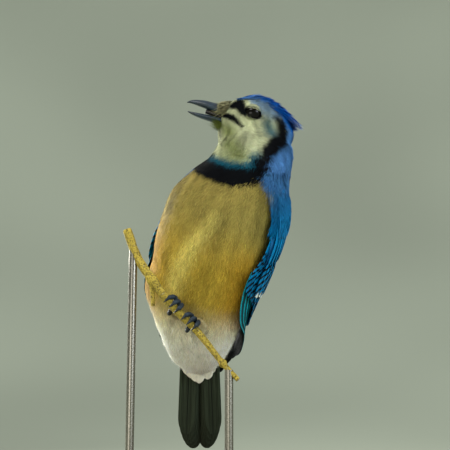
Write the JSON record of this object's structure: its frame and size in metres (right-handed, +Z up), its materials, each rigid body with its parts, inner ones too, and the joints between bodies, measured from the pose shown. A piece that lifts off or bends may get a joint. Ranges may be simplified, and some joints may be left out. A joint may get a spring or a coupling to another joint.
{
  "type": "blue jay",
  "caption": "Life-size perching songbird with folded wings and a hanging tail, clinging to a cut twig that two rods hold above a round base.",
  "frame": {"origin": "middle of the underside of the round base", "axes": "+Z up; the breast faces -Y and a little to -X, the bill points to -X, the tail hangs towards +Y and the bird's left side is towards +X"},
  "size_m": [0.152, 0.152, 0.2261],
  "materials": {
    "board": "dark satin wood",
    "rod": "brushed metal",
    "bark": "rough olive-brown bark",
    "breast": "soft warm buff feathers",
    "throat": "soft off-white feathers",
    "crown": "soft blue feathers",
    "wing": "smooth barred blue feathers",
    "horn": "slate-black horn",
    "eye": "wet black-brown",
    "leg": "scaly slate-black skin"
  },
  "bodies": {
    "root": {"stand_base": "board", "stand_rod_tall": "rod", "stand_rod_short": "rod", "perch": "bark", "torso": "breast", "neck": "throat", "head": "crown", "bill_upper": "horn", "bill_lower": "horn", "eye_left": "eye", "eye_right": "eye", "wing_left": "wing", "wing_right": "wing", "tail": "wing", "foot_right": "leg", "foot_left": "leg", "thigh_right": "breast", "claw_right_1": "horn", "claw_right_2": "horn", "claw_right_3": "horn", "claw_right_4": "horn", "thigh_left": "breast", "claw_left_1": "horn", "claw_left_2": "horn", "claw_left_3": "horn", "claw_left_4": "horn"}
  },
  "joints": []
}
